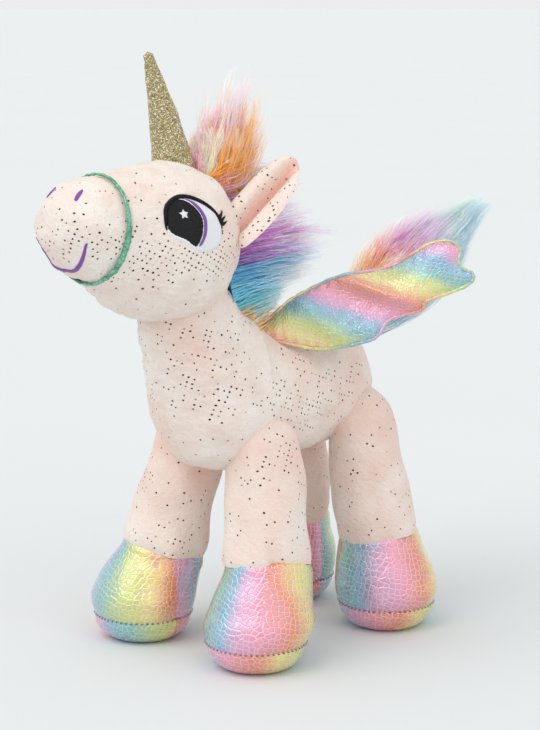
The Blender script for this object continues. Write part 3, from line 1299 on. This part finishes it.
def make_backing(name, path, body):
    """Strip of woven cloth that carries the roots of the mane."""
    path = np.array(path, float)
    centre = smooth_path(np.stack((np.zeros(len(path)), path[:, 0], path[:, 1]), 1), 6)
    tangent = unit(np.gradient(centre, axis=0))
    outward = unit(np.cross(tangent, np.tile((1.0, 0, 0), (len(centre), 1))))
    outward *= np.sign(outward[:, 1:2].mean() + 1e-9)
    half = np.linspace(-1, 1, 9)[None, :, None]
    grid = centre[:, None] + half * (BACKING_WIDTH / 2, 0, 0) - outward[:, None] * half**2 * BACKING_THICK
    rows, columns = grid.shape[:2]
    faces = [(r * columns + k, r * columns + k + 1, (r + 1) * columns + k + 1, (r + 1) * columns + k)
             for r in range(rows - 1) for k in range(columns - 1)]
    strip = make_object(name, grid.reshape(-1, 3), faces)
    modify(strip, "SOLIDIFY", thickness=BACKING_THICK * MM, offset=0)
    subdivide(strip)
    lay_cloth(strip)
    finish_piece(strip, BACKING, body, [name])


# The tail's line, and its radius at stations along it
TAIL_ROOT = (0, 58, 147.5)
TAIL_END = (0, 169.6, 213)
TAIL_STATIONS = [(3, 7), (10, 13), (17, 28), (35, 38), (55, 36), (79, 29), (99, 19), (113, 11), (127, 5)]
# Distance along the tail from its root to the middle of the fan of colours
FAN_START = 7
# Rise of a strand over its reach along the tail, and where that falls along the hues
TAIL_FAN = ((-0.3, -0.11, 0.03, 0.09, 0.18, 0.32, 0.4, 0.56, 0.79, 1.2),
            (1.0, 0.9, 0.8, 0.7, 0.57, 0.43, 0.33, 0.2, 0.06, 0.0))
TAIL_HUES = ["cream", "orange", "coral", "rose", "orchid", "orchid", "violet", "green", "cyan", "blue",
             "mist"]


def make_tail(count=10000):
    """Bush of fur round a short cloth core."""
    start, end = np.array(TAIL_ROOT, float), np.array(TAIL_END, float)
    axis = unit(end - start)
    length = np.linalg.norm(end - start)
    side = np.array((1.0, 0, 0))
    up = upright(axis)
    at, radius = np.array(TAIL_STATIONS, float).T
    angle = random.uniform(0, 2 * math.pi, count)
    where = random.uniform(-4, 26, count)
    ahead = np.clip(where * 0.6 + 11 + random.beta(1.6, 1.6, count) * 114, 6, length - 1)
    rise = np.where(np.sin(angle) < 0, np.interp(ahead, (47, 87), (0.4, 0.95)), 1.0) * np.sin(angle)
    around = (np.cos(angle) * 0.7)[:, None] * side + rise[:, None] * up
    roots = start + where[:, None] * axis + around * 5
    spread = np.sqrt(random.uniform(0.02, 0.85, count))
    wide = cubic(ahead, at, radius) * spread
    tips = start + ahead[:, None] * axis + around * wide[:, None]
    bow = around * (cubic(ahead * 0.5, at, radius) * 0.35)[:, None]

    def position(points):
        out = points - start - FAN_START * axis
        return np.interp((out @ up) / np.maximum(out @ axis, 8), *TAIL_FAN)

    hues = blend_hues(position(tips), TAIL_HUES, 0.5)
    pale = random.random(count) < 0.12
    obj = strands("tail_fur", roots, tips, bow, around, hues, np.where(pale, HUE_NAMES.index("mist"), hues))
    finish_piece(obj, None, "tail", ["tail_fur"])
    steps = np.linspace(0, 1, 12)
    centres = start + (7 + 84 * steps)[:, None] * axis
    wide = cubic(7 + 84 * steps, at, radius) * 0.5 * np.sqrt(np.sin(0.25 + 2.7 * steps))
    turn = full_turn(20)
    lift = np.where(np.sin(turn) < 0, 0.45, 1.0) * np.sin(turn)
    ring = np.cos(turn)[:, None] * 0.7 * side + lift[:, None] * up
    under_fur("tail_under", centres[:, None] + wide[:, None, None] * ring[None], position, TAIL_HUES, "tail")
    rump = start - axis * 5
    core = fuse("tail_core", [turned(rump, rump + axis * 33, [(3, 5), (16, 5.5), (28, 4)], 24)], 1.0, 4)
    push(core, lambda q: bumps(q, 5, 51) * 0.3)
    lay_cloth(core)
    finish_piece(core, BACKING, "tail", ["tail_core"])


# ---------------------------------------------------------------- stage

def make_stage():
    """A pale paper floor that runs far out, in an even studio light."""
    corner_signs = np.array([(-1, -1, 0), (1, -1, 0), (1, 1, 0), (-1, 1, 0)])
    ground = make_object("floor", corner_signs * FLOOR_REACH - SHIFT, [(0, 1, 2, 3)], smooth=False)
    paint = Recipe("floor_paper", {"Roughness": 0.95, "Specular IOR Level": 0.1})
    grain = paint.noise(paint.node("TexCoord").outputs["Object"], 3.0, 2)
    paint.set("Base Color", paint.mix(grain, "DCDFE0", "DFE2E3"))
    ground.data.materials.append(paint.material)
    world = bpy.data.worlds.new("studio")
    world.use_nodes = True
    background = world.node_tree.nodes["Background"]
    background.inputs["Color"].default_value = rgba("EFF1F2")
    background.inputs["Strength"].default_value = 0.96
    bpy.context.scene.world = world
    bpy.context.scene.view_settings.view_transform = "Standard"


def make_sun(name, direction, strength, softness, tint):
    """Studio light from far away, soft through its wide angle."""
    data = bpy.data.lights.new(name, "SUN")
    data.energy = strength
    data.angle = math.radians(softness)
    data.color = tint
    lamp = bpy.data.objects.new(name, data)
    bpy.context.scene.collection.objects.link(lamp)
    lamp.rotation_euler = Vector(direction).to_track_quat("Z", "Y").to_euler()


def make_camera():
    """Looks at the toy's left front from a metre away, a little from above."""
    target = Vector(place((0, 0, 150)))
    turn, rise, distance = math.radians(45), math.radians(9.6), 1.0
    back = Vector((math.sin(turn) * math.cos(rise), -math.cos(turn) * math.cos(rise), math.sin(rise)))
    data = bpy.data.cameras.new("camera")
    data.lens = 98.63
    data.sensor_width = 36
    data.shift_y = -20 / 730
    data.clip_end = 2000
    camera = bpy.data.objects.new("camera", data)
    bpy.context.scene.collection.objects.link(camera)
    camera.location = target + back * distance
    camera.rotation_euler = (-back).to_track_quat("-Z", "Y").to_euler()
    bpy.context.scene.camera = camera


make_camera()
make_stage()
make_sun("key", (-0.15, -0.75, 1.0), 1.0, 50, (1.0, 0.98, 0.95))
make_sun("side", (1.0, -0.2, 0.8), 0.35, 60, (0.97, 0.98, 1.0))

make_torso()
head_surface = make_head()
make_noseband()
make_horn()
for eye_side in ("left", "right"):
    make_eye(eye_side, head_surface)
    make_wing(eye_side)
    make_ear(eye_side)
make_face_stitches(head_surface)
for leg_name, (hip, seam, widest, lowest) in LEGS.items():
    make_leg_cover(leg_name, hip, seam)
    make_hoof(leg_name, seam, widest, lowest)
make_forelock()
make_mane()
make_backing("mane_backing_head", [(-33, 187), (-34.5, 200), (-36, 215), (-40, 230), (-52, 241)], "head")
make_backing("mane_backing_neck", [(-30.5, 174), (-27, 168), (-19, 164.3), (-6, 165.2)], "torso")
make_tail()
